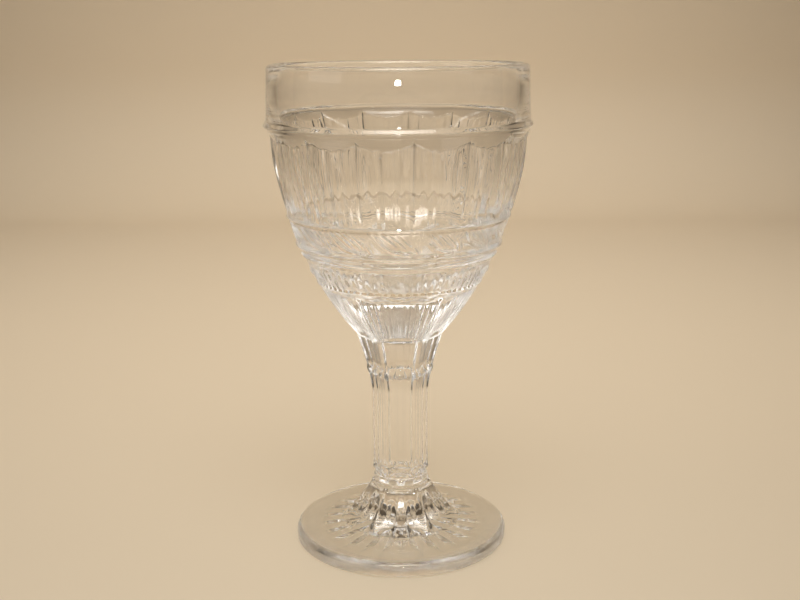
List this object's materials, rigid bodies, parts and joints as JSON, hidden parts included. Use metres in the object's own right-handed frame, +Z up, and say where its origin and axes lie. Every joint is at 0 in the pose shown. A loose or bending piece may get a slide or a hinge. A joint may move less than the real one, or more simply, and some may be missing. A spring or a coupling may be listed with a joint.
{
  "type": "wine glass",
  "caption": "Pressed clear-glass goblet with a fluted cup, a six-sided cone and stem, a collar and a round foot with a six-sided dome.",
  "frame": {"origin": "middle of the flat ring that the foot rests on", "axes": "+Z up the glass's axis, towards the rim; +X through two corners of the six-sided stem"},
  "size_m": [0.0752, 0.0752, 0.14],
  "materials": {
    "bowl_glass": "clear pressed glass, fire-polished, with a soft mould waviness",
    "stem_glass": "clear pressed glass, solid",
    "collar_glass": "clear pressed glass, solid",
    "foot_glass": "clear pressed glass, lightly rubbed where it rests"
  },
  "bodies": {
    "root": {"bowl": "bowl_glass", "stem": "stem_glass", "collar": "collar_glass", "foot": "foot_glass"}
  },
  "joints": []
}
